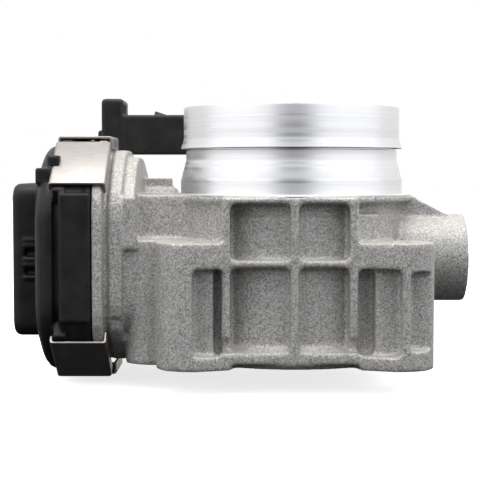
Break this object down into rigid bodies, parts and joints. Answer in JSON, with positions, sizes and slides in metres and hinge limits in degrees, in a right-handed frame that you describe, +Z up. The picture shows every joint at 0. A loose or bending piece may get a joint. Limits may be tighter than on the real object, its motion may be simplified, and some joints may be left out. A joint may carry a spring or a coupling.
{
  "type": "electronic throttle body",
  "caption": "Cast aluminium electronic throttle body: bore with a butterfly plate on a geared motor drive, turned duct neck, bolt lugs and a clipped black gear cover with connector.",
  "frame": {"origin": "on the bore axis, in the plane of the manifold flange face", "axes": "+Z up the bore towards the duct neck, X along the throttle shaft with the gear cover at -X, +Y towards the motor"},
  "size_m": [0.1705, 0.1372, 0.1098],
  "materials": {
    "cast_aluminium": "as-cast, blasted; turned bright on the neck and seats",
    "turned_steel": "ground",
    "screw_steel": "plated",
    "plate_brass": "stamped, satin",
    "bearing_steel": "polished rings",
    "seal_rubber": "matt",
    "pale_nylon": "moulded, satin",
    "pinion_brass": "cut",
    "magnet_grey": "sintered",
    "spring_steel": "drawn wire",
    "black_plastic": "glass-filled, fine texture",
    "motor_steel": "zinc plated",
    "bush_bronze": "sintered bronze and copper",
    "armature_steel": "stacked sheet with windings",
    "carbon": "pressed",
    "tinned_metal": "tinned",
    "board_green": "solder mask",
    "chip_black": "moulded",
    "clip_steel": "bright spring steel, satin"
  },
  "bodies": {
    "housing": {"throttle_housing": "cast_aluminium", "shaft_ball_bearing": "bearing_steel", "shaft_seal": "seal_rubber", "shaft_needle_bearing": "bearing_steel", "shaft_end_plug": "cast_aluminium", "idler_pin": "turned_steel", "return_spring": "spring_steel", "spring_sleeve": "black_plastic", "motor_can": "motor_steel", "motor_end_cap": "black_plastic", "motor_rear_bush": "bush_bronze", "motor_wave_washer": "spring_steel", "motor_magnet_1": "magnet_grey", "motor_magnet_2": "magnet_grey", "motor_brush_1": "carbon", "motor_brush_2": "carbon", "motor_plate": "motor_steel", "motor_screw_1": "screw_steel", "motor_screw_2": "screw_steel", "motor_terminal_1": "tinned_metal", "motor_terminal_2": "tinned_metal", "gear_cover": "black_plastic", "cover_seal": "seal_rubber", "position_sensor_board": "board_green", "position_sensor_chip": "chip_black", "connector_pin_1": "tinned_metal", "cover_clip_1": "clip_steel", "connector_pin_2": "tinned_metal", "cover_clip_2": "clip_steel", "connector_pin_3": "tinned_metal", "cover_clip_3": "clip_steel", "connector_pin_4": "tinned_metal", "cover_clip_4": "clip_steel", "connector_pin_5": "tinned_metal", "cover_clip_5": "clip_steel", "connector_pin_6": "tinned_metal", "cover_clip_6": "clip_steel"},
    "throttle": {"throttle_shaft": "turned_steel", "throttle_plate": "plate_brass", "plate_screw_1": "screw_steel", "plate_screw_2": "screw_steel", "sector_gear": "pale_nylon", "sensor_magnet": "magnet_grey"},
    "idler": {"idler_gear": "pale_nylon"},
    "motor_rotor": {"motor_shaft": "turned_steel", "motor_pinion": "pinion_brass", "motor_armature": "armature_steel", "motor_commutator": "bush_bronze"}
  },
  "joints": [
    {"name": "throttle_turn", "type": "hinge", "parent": "housing", "child": "throttle", "pos_m": [0, 0, 0.0373], "axis": [1, 0, 0], "range_deg": [-7, 77], "stiffness_Nm_per_rad": 0.2},
    {"name": "idler_spin", "type": "hinge", "parent": "housing", "child": "idler", "pos_m": [0, 0.03335, 0.0439], "axis": [1, 0, 0], "range_deg": [-326, 30]},
    {"name": "motor_spin", "type": "hinge", "parent": "housing", "child": "motor_rotor", "pos_m": [0, 0.05996, 0.03005], "axis": [1, 0, 0], "range_deg": [-156, 1711]}
  ],
  "couplings": [
    {"joint": "idler_spin", "follows": "throttle_turn", "ratio": -4.2308},
    {"joint": "motor_spin", "follows": "throttle_turn", "ratio": 22.212}
  ]
}
